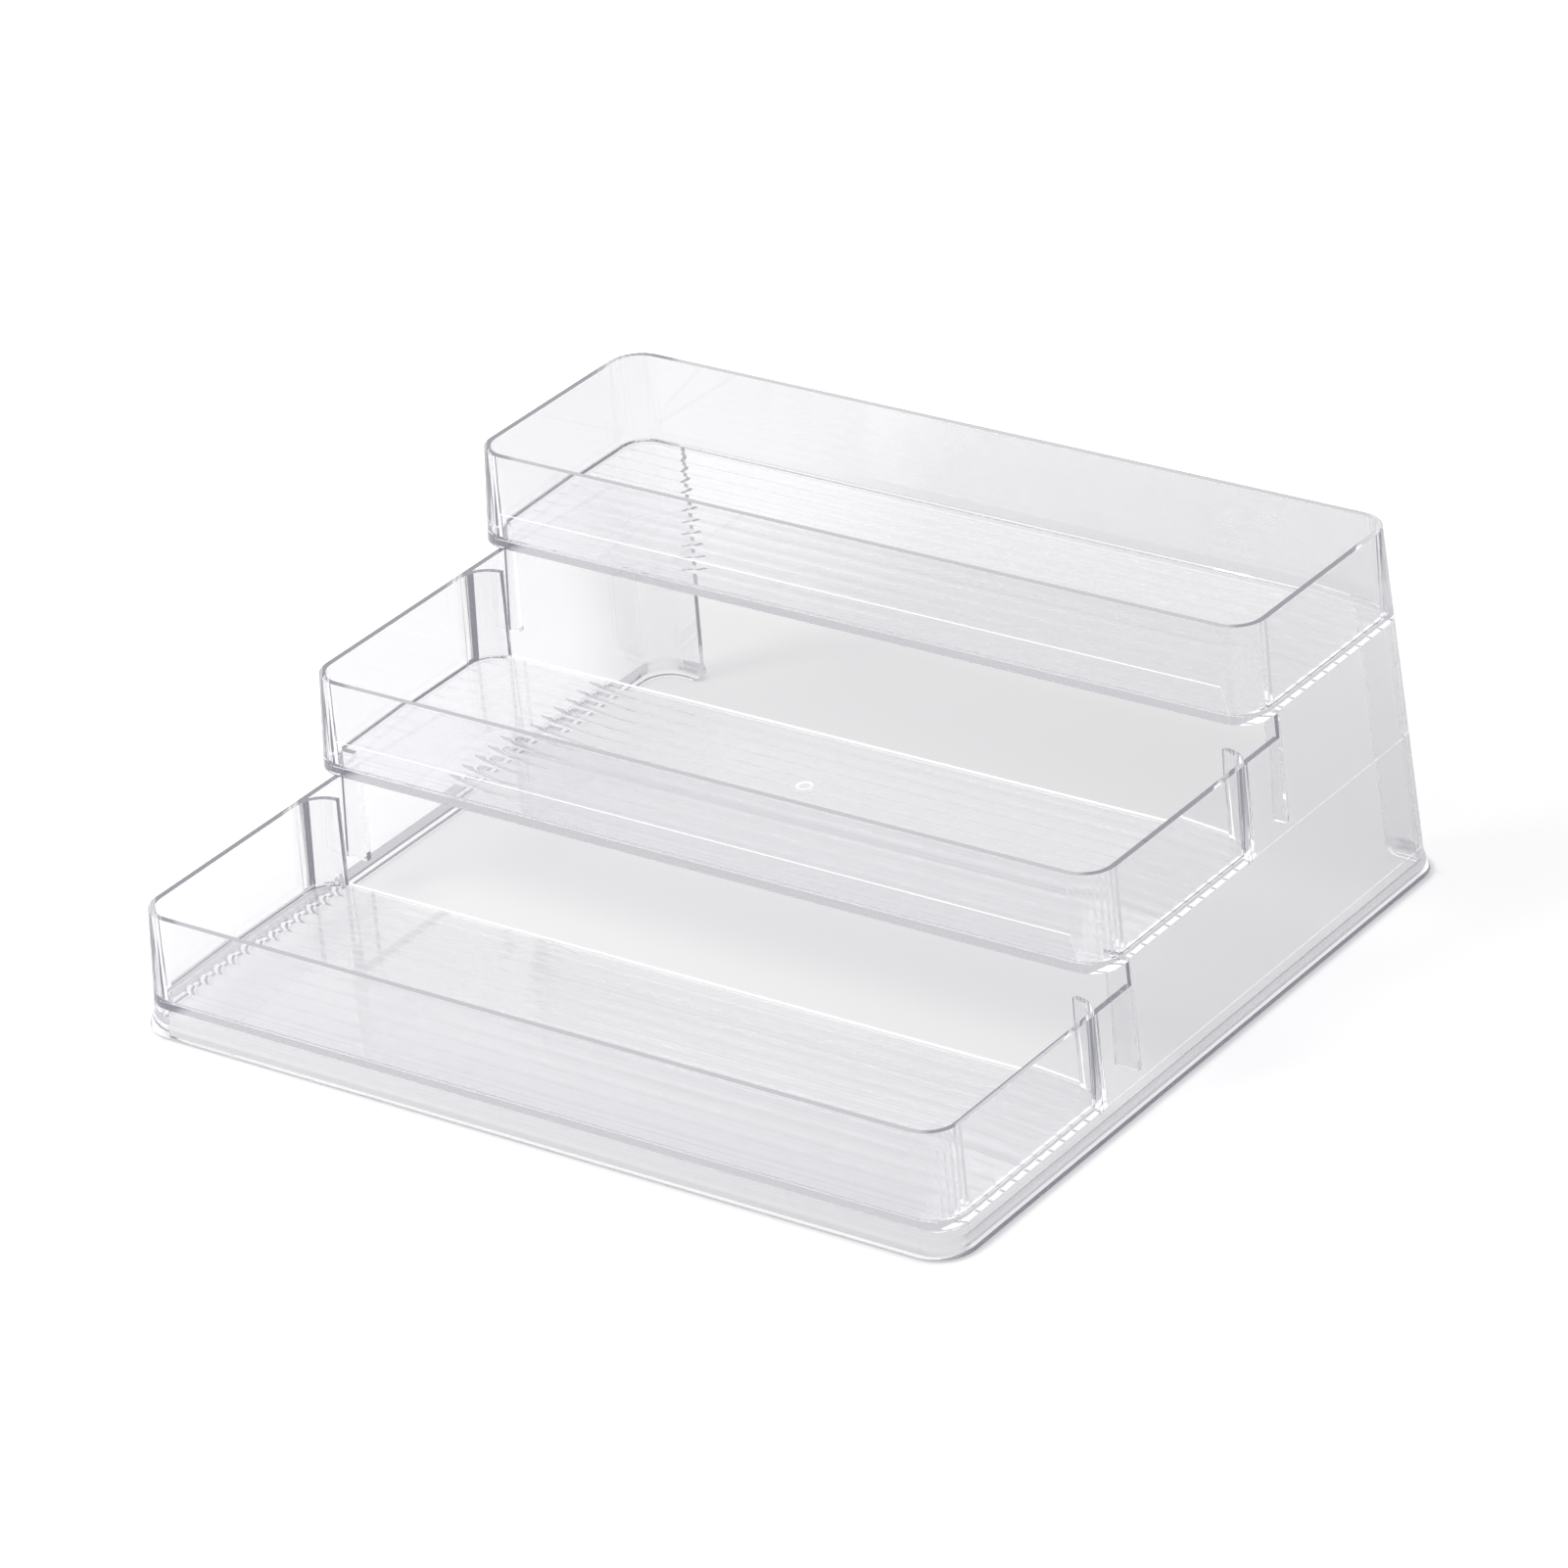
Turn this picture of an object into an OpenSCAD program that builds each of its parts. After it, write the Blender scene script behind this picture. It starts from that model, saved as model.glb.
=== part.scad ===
// Three tier stepped organizer for a vanity or a bathroom shelf, moulded in clear plastic.
// Right is +X, the back is +Y, up is +Z. The origin lies on the ground, under the middle
// of the whole outline. Every outer wall belongs to one tapered envelope that is widest
// at the ground, so that the trays, side panels and rear posts lie flush with each other.

/* [Base] */
// Width over the flared foot
overall_w = 303; // [260:1:360]
// Depth over the flared foot
overall_d = 277; // [272:1:290]
// Height at which the foot starts to flare out from the walls
foot_h = 6.5; // [5:0.5:7.5]
// Distance the foot stands out from the walls
foot_out = 1.8; // [1.4:0.1:2.4]
// Radius of the foot's round nose
nose_r = 1.2; // [0.8:0.1:1.4]

/* [Trays] */
// Height of the lowest tray's rim above the ground
first_rim_h = 41; // [41:0.5:44]
// Rise from one tray to the next
tier_rise = 40; // [38:0.5:44]
// Distance from one tray's front to the next one's front
tier_pitch = 89.5; // [88:0.5:91]
// Depth of the two lower trays, from the front to the back of the rim
tray_d = 89; // [86:0.5:90]
// Height of a tray from its underside to its rim
tray_h = 32; // [28:0.5:33]
// Thickness of floors and of walls at their rim
wall = 2; // [1.6:0.1:2.4]
// Radius of the upright corners, on their outer face
corner_r = 11; // [9:0.5:12]
// Radius of the fillet between a tray's floor and its walls
floor_fillet = 1; // [0.5:0.1:2.5]
// Width of the rounded stub of back wall at each end of the two lower trays
stub_w = 11.6; // [9:0.1:14]

/* [Floor ribs] */
// Number of broad ribs under the floor of each of the two lower trays
rib_count = 12; // [8:1:12]
// Distance from a tray's front to the middle of its first rib
rib_start = 13.4; // [12:0.1:14]
// Spacing of the ribs
rib_pitch = 6.45; // [5:0.05:6.45]
// Width of a rib
rib_w = 4.4; // [3:0.1:4.8]
// Height of a rib, and depth of the flat channels between the ribs
rib_h = 0.15; // [0.1:0.05:0.6]
// Distance from the ends of the ribs to the tray's inner side faces
rib_end = 2.5; // [1:0.1:6]

/* [Draft] */
// Inward lean of the side walls, for each millimetre of height
side_slope = 0.047; // [0.02:0.001:0.06]
// Backward lean of the front walls, for each millimetre of height
front_slope = 0.025; // [0.01:0.001:0.05]
// Forward lean of the back, for each millimetre of height
rear_slope = 0.0645; // [0.04:0.0005:0.08]
// Inward lean of a tray's inner faces, for each millimetre down from the rim
core_slope = 0.01; // [0.005:0.001:0.02]

/* [Risers and back] */
// Width of the strip that turns in at a side panel's edge below the middle tray
lower_strip_w = 8.2; // [6:0.1:10]
// Width of the strip that turns in at a side panel's edge below the upper tray
upper_strip_w = 4.4; // [3:0.1:10]
// Distance from a tray's front to the strip below it
strip_setback = 12; // [12:0.5:14]
// Clearance between the strip's lower end and the floor of the tray in front
strip_gap = 1; // [0.6:0.1:2]
// Width of each rear post's return across the open back
lip_w = 19; // [16:0.5:26]
// Radius that rounds off the lower end of each return
lip_round = 4; // [2:0.5:5]

/* [Gate mark] */
// Diameter of the round pad under the middle tray's floor
gate_d = 10; // [6:0.5:14]
// Diameter of the dimple in that pad
dimple_d = 5; // [3:0.5:5.5]
// Distance of that pad behind the middle tray's front
gate_back = 59; // [52:0.5:66]

/* [Hidden] */
$fn = 64;
HULL_FN = 32;
CLEAR = [0.86, 0.87, 0.92];
SKIN = 0.01;
TIERS = 3;
TOP = TIERS - 1;
LEFT = -1;
RIGHT = 1;

// Where the slanted flare runs into the nose, as an angle round the nose
nose_in = foot_out - nose_r;
flare_rise = foot_h - nose_r;
flare_len = sqrt(pow(nose_in, 2) + pow(flare_rise, 2));
flare_angle = atan2(flare_rise, -nose_in) - acos(nose_r / flare_len);

rib_r = (pow(rib_w / 2, 2) + pow(rib_h, 2)) / (2 * rib_h);
far = overall_w;

// Heights of each tray's rim, underside and floor
function rim_z(k) = first_rim_h + tier_rise * k;
function under_z(k) = rim_z(k) - tray_h;
function floor_z(k) = under_z(k) + wall;

// Outer faces of the envelope at a height
function side_x(z) = overall_w / 2 - foot_out - side_slope * (z - foot_h);
function rear_y(z) = overall_d / 2 - foot_out - rear_slope * (z - foot_h);
function front_y(k, z) = -overall_d / 2 + foot_out + tier_pitch * k
                         + front_slope * (z - tier_rise * k - foot_h);

// The two lower trays end in an upright plane, the top one in the leaning back
function tray_rear_y(k, z) = k == TOP ? rear_y(z) : front_y(k, rim_z(k)) + tray_d;
function strip_y(k) = front_y(k, rim_z(k)) + strip_setback;
function rear_tangent_y(z) = rear_y(z) - corner_r;

// Inner faces of tray k at a height, and the corner radius that goes with them
inner_r = corner_r - wall;
function core_in(k, z) = wall + core_slope * (rim_z(k) - z);
function inner_x(k, z) = side_x(rim_z(k)) - core_in(k, z);
function inner_front(k, z) = front_y(k, rim_z(k)) + core_in(k, z);
function inner_rear(k, z) = tray_rear_y(k, rim_z(k)) - core_in(k, z);

// Thin rounded rectangle of half width hx, from y0 back to y1
module slice(hx, y0, y1, r, z) {
  for (sx = [LEFT, RIGHT])
    for (y = [y0 + r, y1 - r])
      translate([sx * (hx - r), y, z])
        cylinder(h = SKIN, r = r, $fn = HULL_FN);
}

// Slice of the outer envelope, drawn in by inset
module outer_slice(k, z, rear, inset) {
  slice(side_x(z) - inset, front_y(k, z) + inset, rear - inset, corner_r - inset, z);
}

// Tapered solid between two heights, in the outline of tray k
module tapered(k, z0, z1) {
  hull() {
    outer_slice(k, z0, tray_rear_y(k, z0), 0);
    translate([0, 0, -SKIN])
      outer_slice(k, z1, tray_rear_y(k, z1), 0);
  }
}

// Space inside a tray, drawn in along a quarter circle where walls meet the floor
module tray_space(k) {
  top = rim_z(k) + 1;
  hull() {
    for (turn = [0 : 30 : 90]) {
      z = floor_z(k) + floor_fillet * (1 - cos(turn));
      inset = floor_fillet * (1 - sin(turn));
      slice(inner_x(k, z) - inset, inner_front(k, z) + inset, inner_rear(k, z) - inset,
            inner_r - inset, z);
    }
    slice(inner_x(k, top), inner_front(k, top), inner_rear(k, top), inner_r, top);
  }
}

// Room between the two stubs of back wall, above the floor; their free ends are round
module back_opening(k) {
  end_r = core_in(k, floor_z(k)) / 2;
  half = side_x(rim_z(k)) - stub_w + end_r;
  mid = tray_rear_y(k, rim_z(k)) - end_r;
  translate([0, 0, floor_z(k)])
    linear_extrude(height = tray_h)
      difference() {
        translate([-half, mid - corner_r])
          square([2 * half, 2 * corner_r]);
        for (side = [LEFT, RIGHT])
          translate([side * half, mid])
            circle(r = end_r);
      }
}

// The upper tray is shallower inside and has one rib less
function ribs(k) = k == TOP ? rib_count - 1 : rib_count;
function rib_half(k) = inner_x(k, floor_z(k)) - rib_end;

// Shallow recess under a tray's floor that takes the ribs and their channels
module rib_recess(k) {
  channel = rib_pitch - rib_w;
  y0 = front_y(k, floor_z(k)) + rib_start - rib_w / 2 - channel;
  depth = rib_pitch * ribs(k) + channel;
  translate([-rib_half(k), y0, under_z(k) - 1])
    cube([2 * rib_half(k), depth, 1 + rib_h]);
}

// Broad round ribs from side to side, level with the tray's underside
module floor_ribs(k) {
  y0 = front_y(k, floor_z(k)) + rib_start;
  for (i = [0 : ribs(k) - 1])
    intersection() {
      translate([-rib_half(k), y0 + rib_pitch * i, under_z(k) + rib_r])
        rotate([0, 90, 0])
          cylinder(h = 2 * rib_half(k), r = rib_r);
      translate([-far, y0 + rib_pitch * (i - 0.5), under_z(k)])
        cube([2 * far, rib_pitch, 2 * rib_h]);
    }
}

// A whole tray: tapered tub ribbed underneath, its back open below the top tier
module tray(k) {
  difference() {
    tapered(k, under_z(k), rim_z(k));
    tray_space(k);
    rib_recess(k);
    if (k < TOP)
      back_opening(k);
  }
  floor_ribs(k);
}

module lower_tray() {
  color(CLEAR)
    tray(0);
}

// The middle tray has the moulding's gate mark, a round pad with a dimple
module middle_tray() {
  mark_y = front_y(1, floor_z(1)) + gate_back;
  color(CLEAR)
    difference() {
      union() {
        tray(1);
        translate([0, mark_y, under_z(1)])
          cylinder(h = 2 * rib_h, d = gate_d);
      }
      translate([0, mark_y, under_z(1) - 1])
        cylinder(h = 1 + rib_h, d = dimple_d);
    }
}

module upper_tray() {
  color(CLEAR)
    tray(TOP);
}

// Tapered solid of the whole body, from the lowest tray's front to the back
module body_solid(inset) {
  hull() {
    outer_slice(0, foot_h, rear_y(foot_h), inset);
    outer_slice(0, under_z(TOP), rear_y(under_z(TOP)), inset);
  }
}

// Stepped outline of a side panel, seen from the side
module panel_outline() {
  polygon([
    [front_y(0, foot_h) + corner_r, foot_h],
    [front_y(0, foot_h) + corner_r, under_z(0)],
    [tray_rear_y(0, 0) - corner_r, under_z(0)],
    [tray_rear_y(0, 0) - corner_r, rim_z(0)],
    [strip_y(1), rim_z(0)],
    [strip_y(1), under_z(1)],
    [tray_rear_y(1, 0) - corner_r, under_z(1)],
    [tray_rear_y(1, 0) - corner_r, rim_z(1)],
    [strip_y(2), rim_z(1)],
    [strip_y(2), under_z(2)],
    [rear_tangent_y(under_z(2)), under_z(2)],
    [rear_tangent_y(foot_h), foot_h]
  ]);
}

// Leaning wall of one side, as a plate between its two faces
module side_plate(side) {
  z0 = 0;
  z1 = rim_z(TOP);
  translate([0, far, 0])
    rotate([90, 0, 0])
      linear_extrude(height = 2 * far)
        polygon([
          [side * side_x(z0), z0],
          [side * side_x(z1), z1],
          [side * (side_x(z1) - wall), z1],
          [side * (side_x(z0) - wall), z0]
        ]);
}

// Stepped side panel, cut back where the rounded rear corners of the trays stand
module side_panel(side) {
  color(CLEAR)
    difference() {
      intersection() {
        side_plate(side);
        translate([-far, 0, 0])
          rotate([90, 0, 90])
            linear_extrude(height = 2 * far)
              panel_outline();
      }
      for (k = [0, 1])
        tapered(k, under_z(k), rim_z(k) + 1);
    }
}

module left_side_panel() {
  side_panel(LEFT);
}

module right_side_panel() {
  side_panel(RIGHT);
}

// Rounded rear corner with its return across the open back
module rear_post(side) {
  z0 = foot_h;
  z1 = under_z(TOP);
  color(CLEAR)
    intersection() {
      difference() {
        body_solid(0);
        body_solid(wall);
      }
      translate([0, far, 0])
        rotate([90, 0, 0])
          linear_extrude(height = 2 * far)
            polygon([
              [side * (side_x(z0) - lip_w), z0],
              [side * (side_x(z1) - lip_w), z1],
              [side * far, z1],
              [side * far, z0]
            ]);
      translate([-far, 0, 0])
        rotate([90, 0, 90])
          linear_extrude(height = 2 * far)
            polygon([
              [rear_tangent_y(z0), z0],
              [rear_tangent_y(z1), z1],
              [far, z1],
              [far, z0]
            ]);
    }
}

module left_rear_post() {
  rear_post(LEFT);
}

module right_rear_post() {
  rear_post(RIGHT);
}

// Flat strip that turns in from a side panel's front edge, below tray k
module riser_strip(side, k) {
  z0 = floor_z(k - 1) + strip_gap;
  z1 = under_z(k);
  edge = side_x(z0) - wall - (k == 1 ? lower_strip_w : upper_strip_w);
  color(CLEAR)
    translate([0, strip_y(k) + wall, 0])
      rotate([90, 0, 0])
        linear_extrude(height = wall)
          polygon([
            [side * edge, z0],
            [side * (side_x(z0) - wall), z0],
            [side * (side_x(z1) - wall), z1],
            [side * edge, z1]
          ]);
}

module left_lower_riser_strip() {
  riser_strip(LEFT, 1);
}

module right_lower_riser_strip() {
  riser_strip(RIGHT, 1);
}

module left_upper_riser_strip() {
  riser_strip(LEFT, 2);
}

module right_upper_riser_strip() {
  riser_strip(RIGHT, 2);
}

// Section of the foot up to a height: the wall's outer face lies at u, the foot
// slants out from it and ends in a round nose on the ground
module foot_section(u, top) {
  nose_x = u + nose_in;
  polygon([
    [u - wall, 0],
    [nose_x, 0],
    [nose_x + nose_r * cos(flare_angle), nose_r * (1 + sin(flare_angle))],
    [u, foot_h],
    [u - front_slope * (top - foot_h), top],
    [u - wall, top]
  ]);
  translate([nose_x, nose_r])
    circle(r = nose_r);
}

// Straight run of the foot along +X, with its nose towards -Y
module foot_run(length, top) {
  rotate([90, 0, 90])
    linear_extrude(height = length)
      mirror([1, 0])
        foot_section(0, top);
}

// Quarter turn of the foot round an upright corner
module foot_corner(top) {
  rotate_extrude(angle = 90)
    foot_section(corner_r, top);
}

// Outline that rounds off the lower corner of a return whose free edge is at x
module rounded_end(x) {
  translate([x + lip_round, 0])
    square([far, foot_h]);
  translate([x, lip_round])
    square([far, foot_h - lip_round]);
  translate([x + lip_round, lip_round])
    circle(r = lip_round);
}

// Half of the base rim: half the front up to the lowest tray, then one side and the
// back as far as the return's free edge
module half_rim() {
  x = side_x(foot_h);
  y0 = front_y(0, foot_h);
  y1 = rear_y(foot_h);
  cx = x - corner_r;
  lip_x = x - lip_w;
  translate([0, y0, 0])
    foot_run(cx, under_z(0));
  translate([cx, y0 + corner_r, 0])
    rotate([0, 0, -90])
      foot_corner(under_z(0));
  translate([x, y0 + corner_r, 0])
    rotate([0, 0, 90])
      foot_run(y1 - y0 - 2 * corner_r, foot_h);
  translate([cx, y1 - corner_r, 0])
    foot_corner(foot_h);
  intersection() {
    translate([cx, y1, 0])
      rotate([0, 0, 180])
        foot_run(cx - lip_x, foot_h);
    translate([0, far, 0])
      rotate([90, 0, 0])
        linear_extrude(height = far)
          rounded_end(lip_x);
  }
}

// Foot of the organizer, with the low wall under the front of the lowest tray
module base_rim() {
  color(CLEAR) {
    half_rim();
    mirror([1, 0, 0])
      half_rim();
  }
}

base_rim();
lower_tray();
middle_tray();
upper_tray();
left_side_panel();
right_side_panel();
left_rear_post();
right_rear_post();
left_lower_riser_strip();
right_lower_riser_strip();
left_upper_riser_strip();
right_upper_riser_strip();
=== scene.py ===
import math

import bpy
from mathutils import Matrix, Vector


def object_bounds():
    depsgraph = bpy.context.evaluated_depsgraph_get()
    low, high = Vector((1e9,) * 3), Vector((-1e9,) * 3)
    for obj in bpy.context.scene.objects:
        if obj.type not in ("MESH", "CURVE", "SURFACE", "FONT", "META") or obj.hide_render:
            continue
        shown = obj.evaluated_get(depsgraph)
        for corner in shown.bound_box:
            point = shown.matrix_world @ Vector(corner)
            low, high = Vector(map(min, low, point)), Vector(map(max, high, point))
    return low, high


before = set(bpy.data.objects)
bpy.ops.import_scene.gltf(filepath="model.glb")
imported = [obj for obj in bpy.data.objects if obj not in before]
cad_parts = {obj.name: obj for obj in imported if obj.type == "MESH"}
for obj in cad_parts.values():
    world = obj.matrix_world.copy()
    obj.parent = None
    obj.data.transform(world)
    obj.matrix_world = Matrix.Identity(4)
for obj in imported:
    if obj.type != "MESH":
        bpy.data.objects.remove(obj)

cad_low, cad_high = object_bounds()

# Driving sizes of the moulding, in metres, the same as in the part's source.
WIDTH, DEPTH = 0.303, 0.277
WALL = 0.002
CORNER = 0.011
FOOT_TOP, FOOT_OUT = 0.0065, 0.0018
FIRST_RIM = 0.041
TRAY_HIGH, TRAY_DEEP = 0.032, 0.089
TIERS = 3
TIER_PITCH, TIER_RISE = 0.0895, 0.04
SIDE_LEAN, REAR_LEAN, FRONT_LEAN = 0.047, 0.0645, 0.025
STRIP_WIDTHS = (0.0082, 0.0044)
STRIP_SETBACK, STRIP_GAP = 0.012, 0.001
RETURN = 0.019
RIB_START, RIB_PITCH = 0.0134, 0.00645
GATE_BACK = 0.059

# Places that follow from them. Outer faces are given where they would meet the ground.
TRAY_UNDER = FIRST_RIM - TRAY_HIGH
SIDE_AT_FLOOR = WIDTH / 2 - FOOT_OUT + SIDE_LEAN * FOOT_TOP
REAR_AT_FLOOR = DEPTH / 2 - FOOT_OUT + REAR_LEAN * FOOT_TOP
FRONT_AT_FLOOR = FOOT_OUT - DEPTH / 2 - FRONT_LEAN * FOOT_TOP
RIM_FRONT = FRONT_AT_FLOOR + FRONT_LEAN * FIRST_RIM
SIDE_STARTS = FOOT_OUT - DEPTH / 2 + CORNER
TRAY_ENDS = RIM_FRONT + TRAY_DEEP
STRIP_FRONT = RIM_FRONT + STRIP_SETBACK
FIRST_GAP = FRONT_AT_FLOOR + RIB_START + RIB_PITCH / 2
GATE_Y = FRONT_AT_FLOOR + TIER_PITCH + FRONT_LEAN * (TRAY_UNDER + WALL) + GATE_BACK

# How near counts as on a plane, and how far facets lie inside a round corner.
TOUCH = 0.000004
FACET_SLACK = 0.00005

# Clear styrene: its tint, the slow waves in its faces and the grain of its polish.
IOR_STYRENE = 1.57
CLEAR_TINT = (0.943, 0.942, 0.953, 1)
WAVE_SCALE, WAVE_DETAIL = 14.0, 2.0
WAVE_STRENGTH, WAVE_HEIGHT = 0.06, 0.0006
GRAIN_SCALE, GRAIN_DETAIL = 420.0, 3.0
POLISH, POLISH_VARIES = 0.006, 0.02
LEVEL_FACE = 0.96
RIB_FLATTENING = 0.42

# Light that has turned this often inside the walls gives way to an even painted glow.
DEEP_TURNS = 10.5
MIRROR_TURNS = 2.5
# Painted glow levels: even, lighter low down, and darker as painted shade by the sides.
INNER_LIGHT = (0.54, 0.54, 0.575, 1)
LOW_LIGHT = (0.63, 0.63, 0.66, 1)
SIDE_LIGHT = (0.27, 0.27, 0.31, 1)
SIDE_DARKEST = 0.004
BELOW_UNDER, ABOVE_UNDER = 0.001, 0.006

# Light that passes to the ground, weaker under the foot's nose.
LIGHT_THROUGH = (0.95, 0.95, 0.955, 1)
LIGHT_UNDER_NOSE = (0.75, 0.75, 0.76, 1)
NOSE_SHADES = 0.0013

# Painted highlights on bright edges: the rear ends of the lower trays, the ends of the
# ribs, the gate mark.
WHITE = (1, 1, 1, 1)
EDGE_LIGHT = 1.3
REAR_EDGE_SHARE = 0.85
RIB_END_SHARE = 0.8
RIB_END_NEAR, RIB_END_FAR = 0.0008, 0.0062
GAP_WIDTH, RIB_SHOWS = 0.0011, 0.0002
GATE_INNER, GATE_OUTER = 0.0019, 0.0028
GATE_BELOW, GATE_ABOVE = 0.0008, 0.0012
GATE_RING_SHARE, GATE_CRESCENT_SHARE, GATE_CRESCENT_FROM = 0.4, 0.55, 0.0015

# A painted shade line along the foot's nose, grey in front and dark violet on the right.
PAINTED_NOSE_SHADE = (0.56, 0.56, 0.57, 1)
RIGHT_PAINTED_NOSE_SHADE = (0.12, 0.11, 0.16, 1)
NOSE_SHARE = 0.8
NOSE_FROM = 0.001
NOSE_LINE, RIGHT_NOSE_MORE = 0.001, 0.0012

# The paper under the object, with painted glow and a painted shadow behind the object.
SHEET = 4.0
FLOOR_Z = -0.0002
WHITE_PAPER = (0.93, 0.93, 0.935, 1)
# Painted glow that rises away from the object, so the paper near it stays greyer.
PAPER_GLOW, FAR_GLOW = 0.02, 0.24
NEAR, FAR = 0.2, 0.5
# Painted glow that makes the paper white just beside the object.
WHITE_BESIDE = 0.27
EDGE_INSIDE, EDGE_OUTSIDE = -0.001, 0.003
# A painted shadow: a greyer patch behind the object where that glow is held back.
BACK_SLANT = 0.86
BACK_INSET = 0.006
BACK_LEFT_SOFTNESS, BACK_END_SOFTNESS, BACK_REACH = 0.1, 0.06, 0.004
# Seen in the plastic, the glow beside the object is painted only towards the left.
LEFT_STARTS, LEFT_FULL, LEFT_SHARE = -0.08, -0.2, 0.8

# The white room and its one large soft lamp.
ROOM_LIGHT = 0.36
ROOM_SEEN, ROOM_TO_LEFT, ROOM_TO_BACK = 0.85, 0.3, 0.25
KEY_PLACE, KEY_SIZE, KEY_POWER = (-0.75, -1.05, 1.35), (0.6, 0.6), 27

# The camera of the photograph.
SENSOR, LENS = 36.0, 178.74
CLIP = (0.05, 50.0)
CAMERA_PLACE = (1.27236, -1.68883, 1.15343)
CAMERA_TURN, CAMERA_FALL, CAMERA_ROLL = (
    math.radians(angle) for angle in (36.97, 27.42, -4.71)
)


class Value:
    """A node socket that can be used in sums."""

    def __init__(self, tree, socket):
        self.tree, self.socket = tree, socket

    def _join(self, operation, first, second):
        node = self.tree.nodes.new("ShaderNodeMath")
        node.operation = operation
        for slot, item in zip(node.inputs, (first, second)):
            if isinstance(item, Value):
                self.tree.links.new(item.socket, slot)
            else:
                slot.default_value = item
        return Value(self.tree, node.outputs[0])

    def __add__(self, other):
        return self._join("ADD", self, other)

    def __radd__(self, other):
        return self._join("ADD", other, self)

    def __sub__(self, other):
        return self._join("SUBTRACT", self, other)

    def __rsub__(self, other):
        return self._join("SUBTRACT", other, self)

    def __mul__(self, other):
        return self._join("MULTIPLY", self, other)

    def __rmul__(self, other):
        return self._join("MULTIPLY", other, self)

    def __abs__(self):
        return self._join("ABSOLUTE", self, 0.0)

    def root(self):
        return self._join("POWER", self, 0.5)

    def most(self, other):
        return self._join("MAXIMUM", self, other)

    def least(self, other):
        return self._join("MINIMUM", self, other)

    def over(self, other):
        return self._join("GREATER_THAN", self, other)

    def under(self, other):
        return self._join("LESS_THAN", self, other)

    def remainder(self, other):
        return self._join("FLOORED_MODULO", self, other)

    def within(self, low, high):
        return self.over(low) * self.under(high)

    def at(self, place):
        return abs(self - place).under(TOUCH)


class Nodes:
    """The nodes of a material or of the world."""

    def __init__(self, owner):
        owner.use_nodes = True
        self.owner, self.tree = owner, owner.node_tree
        self.tree.nodes.clear()

    def node(self, kind, settings=None, **sockets):
        made = self.tree.nodes.new(kind)
        for name, setting in (settings or {}).items():
            setattr(made, name, setting)
        for name, item in sockets.items():
            slot = made.inputs[name.replace("_", " ")]
            if isinstance(item, Value):
                self.tree.links.new(item.socket, slot)
            else:
                slot.default_value = item
        return made

    def value(self, node, output=0):
        return Value(self.tree, node.outputs[output])

    def axes(self, vector):
        split = self.node("ShaderNodeSeparateXYZ", Vector=vector)
        return [self.value(split, axis) for axis in "XYZ"]

    def noise(self, place, scale, detail):
        return self.value(self.node(
            "ShaderNodeTexNoise", Vector=place, Scale=scale, Detail=detail,
        ))

    def soft_step(self, value, start, end, low, high):
        """Goes from low to high while the value goes from start to end."""
        return self.value(self.node(
            "ShaderNodeMapRange", {"interpolation_type": "SMOOTHSTEP"}, Value=value,
            From_Min=start, From_Max=end, To_Min=low, To_Max=high,
        ))

    def glow(self, color, strength=1.0):
        return self.node("ShaderNodeEmission", Color=color, Strength=strength)

    def window(self, color):
        return self.node("ShaderNodeBsdfTransparent", Color=color)

    def blend(self, share, first, second):
        made = self.node("ShaderNodeMixShader", Fac=share)
        self.tree.links.new(first.outputs[0], made.inputs[1])
        self.tree.links.new(second.outputs[0], made.inputs[2])
        return made

    def surface(self, node, output="ShaderNodeOutputMaterial"):
        out = self.node(output)
        self.tree.links.new(node.outputs[0], out.inputs["Surface"])
        return self.owner


class Spot:
    """A point of the moulding, and how far it lies inside the outer faces."""

    def __init__(self, f, place):
        self.x, self.y, self.z = f.axes(place)
        self.from_side = SIDE_AT_FLOOR - SIDE_LEAN * self.z - abs(self.x)
        self.from_rear = REAR_AT_FLOOR - REAR_LEAN * self.z - self.y
        self.from_front = self.y - FRONT_AT_FLOOR - FRONT_LEAN * self.z
        # Squared distances from the centre line of the nearest upright corner.
        reach = (CORNER - self.from_side).most(0.0)
        turn = (CORNER - self.from_rear).most(CORNER - self.from_front).most(0.0)
        self.sideways = reach * reach
        self.outwards = self.sideways + turn * turn


def moulded_joint(spot):
    """Where two named pieces of the one moulding touch, there is no surface."""
    y, z, from_side = spot.y, spot.z, spot.from_side
    in_wall = spot.outwards.over((CORNER - WALL) ** 2)
    joint = z.at(FOOT_TOP).most(z.at(TRAY_UNDER) * in_wall)
    joint = joint.most(y.at(SIDE_STARTS) * z.under(TRAY_UNDER))
    below_top_tray = z.under(TRAY_UNDER + 2 * TIER_RISE)
    joint = joint.most(spot.from_rear.at(CORNER) * below_top_tray)
    for step, strip_width in enumerate(STRIP_WIDTHS):
        under = TRAY_UNDER + TIER_RISE * step
        past_strip = y - STRIP_FRONT - TIER_PITCH * (step + 1)
        carried = past_strip.over(0.0) * from_side.under(RETURN) * in_wall
        strip_top = past_strip.within(0.0, WALL) * from_side.under(WALL + strip_width)
        joint = joint.most(z.at(under + TIER_RISE) * carried.most(strip_top))
        strip_edge = from_side.at(WALL) * past_strip.within(0.0, WALL)
        strip_high = z.within(under + WALL + STRIP_GAP, under + TIER_RISE)
        joint = joint.most(strip_edge * strip_high)
        past_turn = y - TRAY_ENDS - TIER_PITCH * step + CORNER
        corner_skin = (spot.sideways + past_turn * past_turn).within(
            (CORNER - FACET_SLACK) ** 2, (CORNER + TOUCH) ** 2)
        beside_panel = from_side.within(TOUCH, WALL) * z.within(under, under + TRAY_HIGH)
        joint = joint.most(corner_skin * past_turn.over(0.0) * beside_panel)
    return joint


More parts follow.
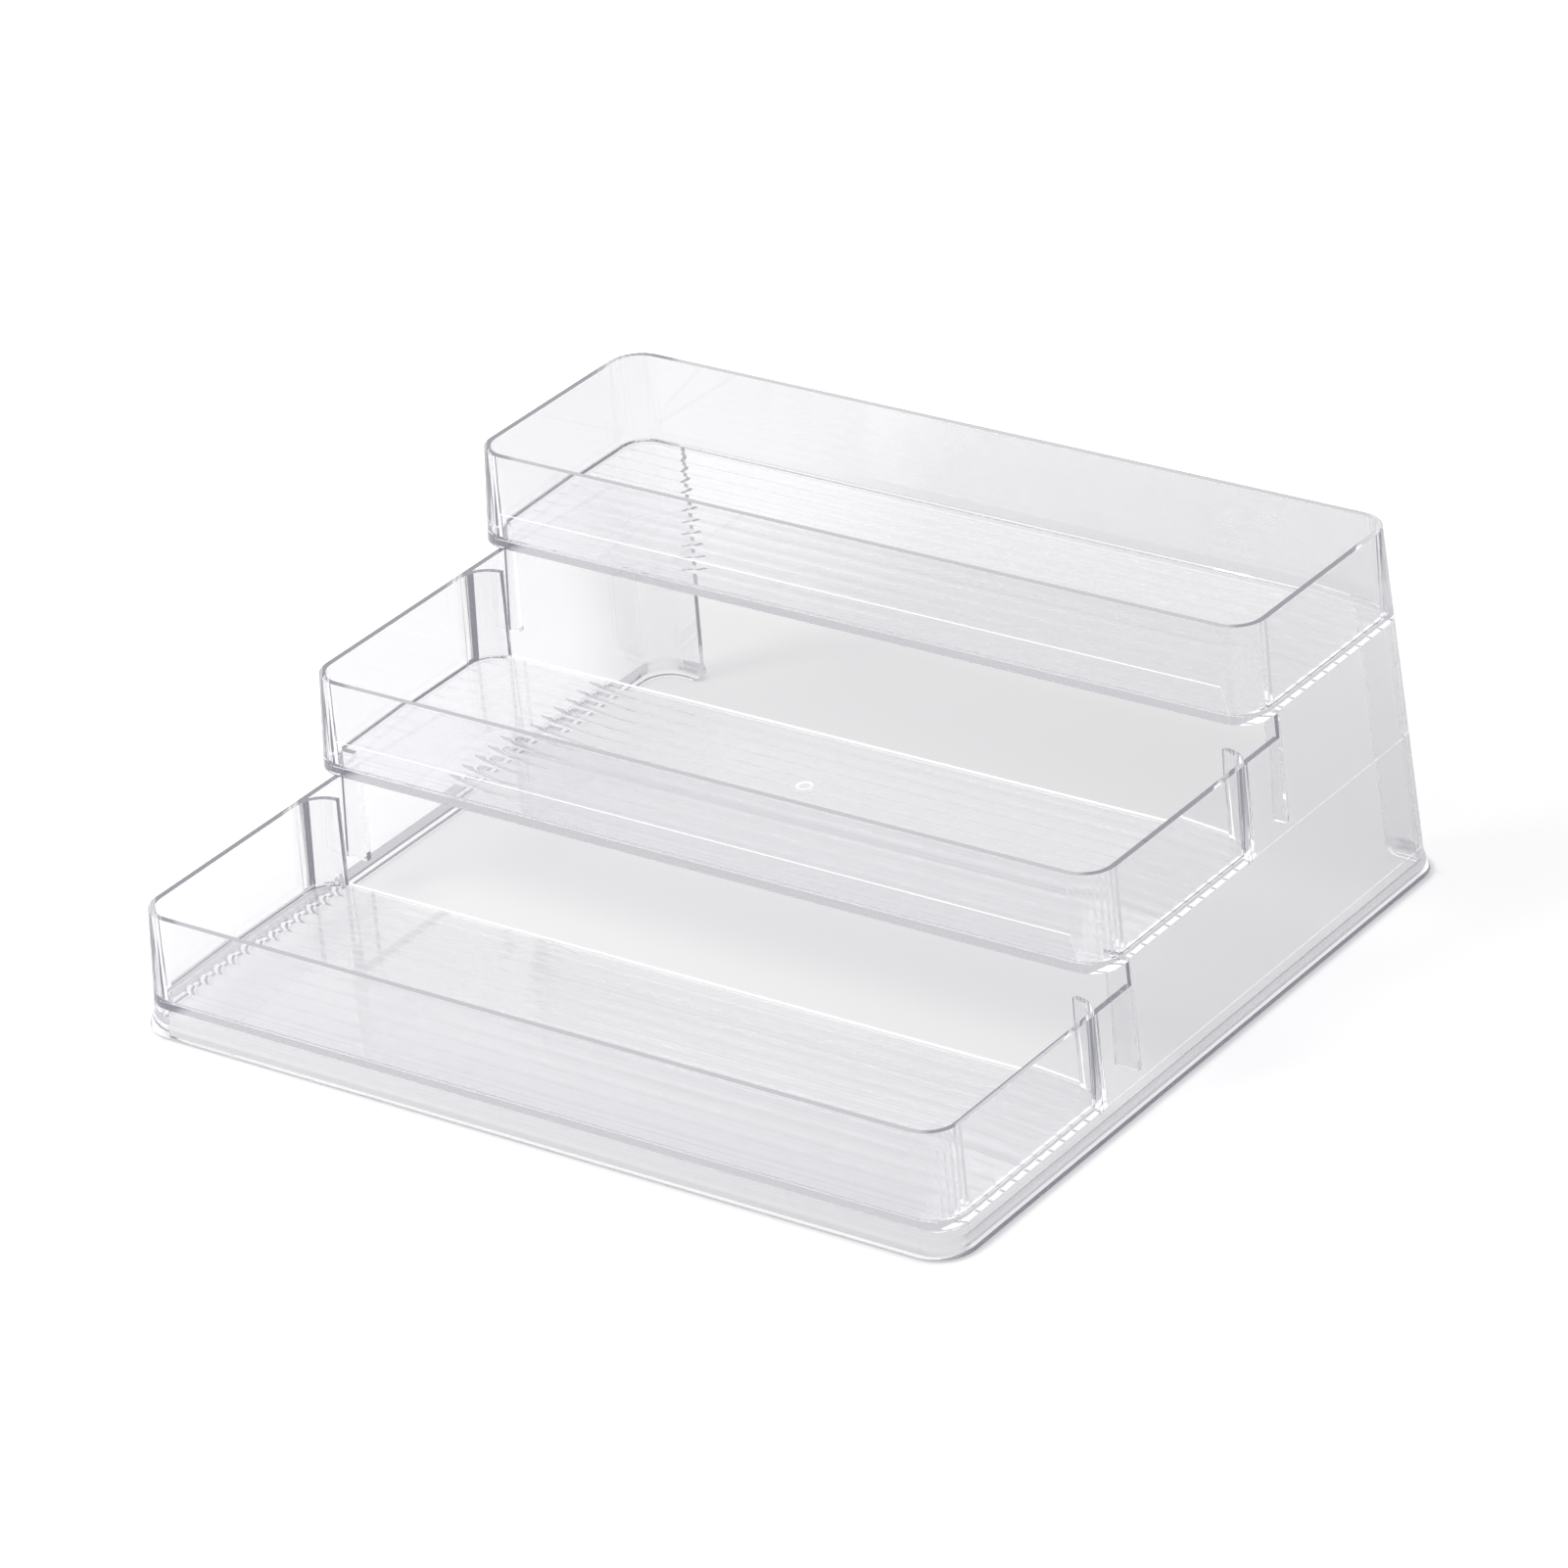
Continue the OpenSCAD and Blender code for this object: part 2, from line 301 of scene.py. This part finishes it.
def clear_sheet(f, place, facing):
    """The plastic itself: clear, with slow waves and a fine polish."""
    waves = f.noise(place, WAVE_SCALE, WAVE_DETAIL)
    grain = f.noise(place, GRAIN_SCALE, GRAIN_DETAIL)
    nx, ny, nz = f.axes(facing)
    level = abs(nz).over(LEVEL_FACE)
    flattened = f.value(f.node(
        "ShaderNodeCombineXYZ", X=nx, Y=ny - ny * level * RIB_FLATTENING, Z=nz,
    ))
    even = f.value(f.node(
        "ShaderNodeVectorMath", {"operation": "NORMALIZE"}, Vector=flattened,
    ))
    ripple = f.value(f.node(
        "ShaderNodeBump", Height=waves, Strength=WAVE_STRENGTH, Distance=WAVE_HEIGHT,
        Normal=even,
    ))
    return f.node(
        "ShaderNodeBsdfPrincipled", Base_Color=CLEAR_TINT,
        Roughness=POLISH + POLISH_VARIES * grain, IOR=IOR_STYRENE,
        Transmission_Weight=1.0, Normal=ripple,
    )


def painted_glow_inside(f, spot):
    """A painted glow deep in the walls, with painted shade by the sides and lighter low
    down.
    """
    y, z = spot.y, spot.z
    by_side = f.soft_step(spot.from_side, CORNER, SIDE_DARKEST, 0.0, 1.0)
    in_post = spot.from_rear.under(CORNER) * z.under(TRAY_UNDER + 2 * TIER_RISE)
    low = z.under(FOOT_TOP).most(in_post)
    for step in range(TIERS):
        under = TRAY_UNDER + TIER_RISE * step
        low = low.most(z.within(under - BELOW_UNDER, under + ABOVE_UNDER))
    middle = f.blend(low, f.glow(INNER_LIGHT), f.glow(LOW_LIGHT))
    return f.blend(by_side * z.over(FOOT_TOP), middle, f.glow(SIDE_LIGHT))


def rear_edge_highlight(spot):
    """Where a painted highlight lies: the open rear ends of the two lower trays."""
    return spot.y.at(TRAY_ENDS).most(spot.y.at(TRAY_ENDS + TIER_PITCH))


def rib_end_highlights(spot):
    """Where painted highlights lie: the ends of the ribs along the right, with thin gaps
    between them.
    """
    def on_rib(step):
        under = TRAY_UNDER + TIER_RISE * step
        along = spot.y - FIRST_GAP - TIER_PITCH * step
        past_gap = along.remainder(RIB_PITCH).over(GAP_WIDTH)
        return past_gap * spot.z.within(under - TOUCH, under + RIB_SHOWS)

    at_end = spot.from_side.within(RIB_END_NEAR, RIB_END_FAR) * spot.x.over(0.0)
    return at_end * sum(on_rib(step) for step in range(TIERS))


def gate_ring_highlight(spot):
    """A painted highlight on the rim of the dimple under the middle tray, brightest
    towards the back left.
    """
    past = spot.y - GATE_Y
    ring = (spot.x * spot.x + past * past).within(GATE_INNER ** 2, GATE_OUTER ** 2)
    under = TRAY_UNDER + TIER_RISE
    ring = ring * spot.z.within(under - GATE_BELOW, under + GATE_ABOVE)
    crescent = (past - spot.x).over(GATE_CRESCENT_FROM)
    return ring * (GATE_RING_SHARE + crescent * GATE_CRESCENT_SHARE)


def nose_shade_line(f, spot):
    """The painted shade line on the foot's outline: where it is and its painted shade,
    wider and darker on the right.
    """
    on_right = spot.x.over(0.0) * spot.sideways * (CORNER + FOOT_OUT) ** -2
    on_nose = spot.outwards.over((CORNER + NOSE_FROM) ** 2)
    on_line = on_nose * (spot.z - on_right * RIGHT_NOSE_MORE).under(NOSE_LINE)
    return on_line, f.blend(on_right, f.glow(PAINTED_NOSE_SHADE), f.glow(RIGHT_PAINTED_NOSE_SHADE))


def clear_moulded_plastic():
    f = Nodes(bpy.data.materials.new("clear_moulded_plastic"))
    where = f.node("ShaderNodeTexCoord")
    place, facing = f.value(where, "Object"), f.value(where, "Normal")
    spot = Spot(f, place)
    rays = f.node("ShaderNodeLightPath")

    # Past these turns the plastic shows painted glow in place of the light it would carry.
    turned_often = f.value(rays, "Ray Depth").over(DEEP_TURNS).most(
        f.value(rays, "Glossy Depth").over(MIRROR_TURNS))
    body = f.blend(turned_often, clear_sheet(f, place, facing), painted_glow_inside(f, spot))

    # Painted highlights: the rear ends of the lower trays, the rib ends and the gate mark.
    painted_highlight = f.glow(WHITE, EDGE_LIGHT)
    body = f.blend(rear_edge_highlight(spot) * REAR_EDGE_SHARE, body, painted_highlight)
    # A painted shade line along the foot's nose, shown to camera rays only.
    on_line, painted_line_shade = nose_shade_line(f, spot)
    seen = f.value(rays, "Is Camera Ray")
    body = f.blend(on_line * seen * NOSE_SHARE, body, painted_line_shade)
    body = f.blend(rib_end_highlights(spot) * RIB_END_SHARE, body, painted_highlight)
    body = f.blend(gate_ring_highlight(spot), body, painted_highlight)

    lighting = f.value(rays, "Is Shadow Ray").most(f.value(rays, "Is Diffuse Ray"))
    passing = f.blend(
        spot.z.under(NOSE_SHADES), f.window(LIGHT_THROUGH), f.window(LIGHT_UNDER_NOSE))
    skin = f.blend(lighting, body, passing)
    return f.surface(f.blend(moulded_joint(spot), skin, f.window(WHITE)))


def white_paper():
    """Pale paper that keeps the object's shadow, with painted glow that makes it white
    beside the object and a painted shadow behind it.
    """
    f = Nodes(bpy.data.materials.new("white_paper"))
    rays = f.node("ShaderNodeLightPath")
    looked_at = f.value(rays, "Is Camera Ray")
    in_plastic = f.value(rays, "Is Glossy Ray").most(f.value(rays, "Is Transmission Ray"))
    place = f.value(f.node("ShaderNodeTexCoord"), "Object")
    x, y, _ = f.axes(place)
    away = f.value(
        f.node("ShaderNodeVectorMath", {"operation": "LENGTH"}, Vector=place), "Value")
    far = f.soft_step(away, NEAR, FAR, PAPER_GLOW, FAR_GLOW)

    # How far outside the foot's outline, with its round corners.
    round_corner = CORNER + FOOT_OUT
    past_x = (abs(x) - cad_high.x + round_corner).most(0.0)
    past_y = (abs(y) - cad_high.y + round_corner).most(0.0)
    off_foot = (past_x * past_x + past_y * past_y).root() - round_corner

    # How far outside the painted shadow behind it, a greyer patch which fades to the left
    # and back.
    behind = y - cad_high.y + round_corner
    across = x + behind * BACK_SLANT
    off_right = across - cad_high.x + BACK_INSET
    off_left = (0.0 - across - cad_high.x) * BACK_LEFT_SOFTNESS
    off_end = behind * BACK_END_SOFTNESS - BACK_REACH
    off_painted_shadow = off_right.most(off_left).most(0.0 - behind).most(off_end)

    outside = off_foot.least(off_painted_shadow)
    beside = f.soft_step(outside, EDGE_INSIDE, EDGE_OUTSIDE, 0.0, WHITE_BESIDE)
    at_left = f.soft_step(x, LEFT_STARTS, LEFT_FULL, 0.0, LEFT_SHARE)
    # Painted glow: for the camera beside and far off; in the plastic far off, and beside
    # only to the left.
    glow = f.glow(looked_at * (beside + far) + in_plastic * far.most(beside * at_left))
    both = f.node("ShaderNodeAddShader")
    lit_paper = f.node("ShaderNodeBsdfDiffuse", Color=WHITE_PAPER)
    f.tree.links.new(lit_paper.outputs[0], both.inputs[0])
    f.tree.links.new(glow.outputs[0], both.inputs[1])
    return f.surface(both)


def ground():
    bpy.ops.mesh.primitive_plane_add(size=SHEET, location=(0, 0, FLOOR_Z))
    floor = bpy.context.object
    floor.name = "floor"
    floor.data.materials.append(white_paper())


def white_room():
    """White all round: even for the eye, brighter to the left and back in the plastic."""
    bpy.context.scene.world = bpy.data.worlds.new("studio")
    f = Nodes(bpy.context.scene.world)
    side, back, _ = f.axes(f.value(f.node("ShaderNodeTexCoord"), "Generated"))
    rays = f.node("ShaderNodeLightPath")
    seen = f.value(rays, "Is Camera Ray")
    lighting = f.value(rays, "Diffuse Depth").over(0.5)
    in_plastic = (1.0 - seen) * (1.0 - lighting)
    in_room = ROOM_SEEN - ROOM_TO_LEFT * side + ROOM_TO_BACK * back
    level = seen + in_plastic * in_room + lighting * ROOM_LIGHT
    f.surface(f.node("ShaderNodeBackground", Color=level), "ShaderNodeOutputWorld")


def key_lamp():
    """A soft lamp from the front left, whose own shape doesn't show in the plastic."""
    data = bpy.data.lights.new("key", "AREA")
    data.shape = "RECTANGLE"
    data.size, data.size_y = KEY_SIZE
    data.energy = KEY_POWER
    lamp = bpy.data.objects.new("key", data)
    bpy.context.scene.collection.objects.link(lamp)
    lamp.location = KEY_PLACE
    lamp.rotation_mode = "QUATERNION"
    lamp.rotation_quaternion = (-Vector(KEY_PLACE)).to_track_quat("-Z", "Y")
    lamp.visible_transmission = False


def camera():
    data = bpy.data.cameras.new("camera")
    data.sensor_width = SENSOR
    data.lens = LENS
    data.clip_start, data.clip_end = CLIP
    made = bpy.data.objects.new("camera", data)
    bpy.context.scene.collection.objects.link(made)
    level = math.cos(CAMERA_FALL)
    back = Vector((
        math.sin(CAMERA_TURN) * level, -math.cos(CAMERA_TURN) * level,
        math.sin(CAMERA_FALL),
    ))
    right = Vector((0, 0, 1)).cross(back).normalized()
    up = back.cross(right)
    across = math.cos(CAMERA_ROLL) * right + math.sin(CAMERA_ROLL) * up
    upward = math.cos(CAMERA_ROLL) * up - math.sin(CAMERA_ROLL) * right
    turned = Matrix((across, upward, back)).transposed().to_4x4()
    made.matrix_world = Matrix.Translation(CAMERA_PLACE) @ turned
    bpy.context.scene.camera = made
    bpy.context.scene.view_settings.view_transform = "Standard"


plastic = clear_moulded_plastic()
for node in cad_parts.values():
    node.data.materials.clear()
    node.data.materials.append(plastic)

camera()
white_room()
ground()
key_lamp()
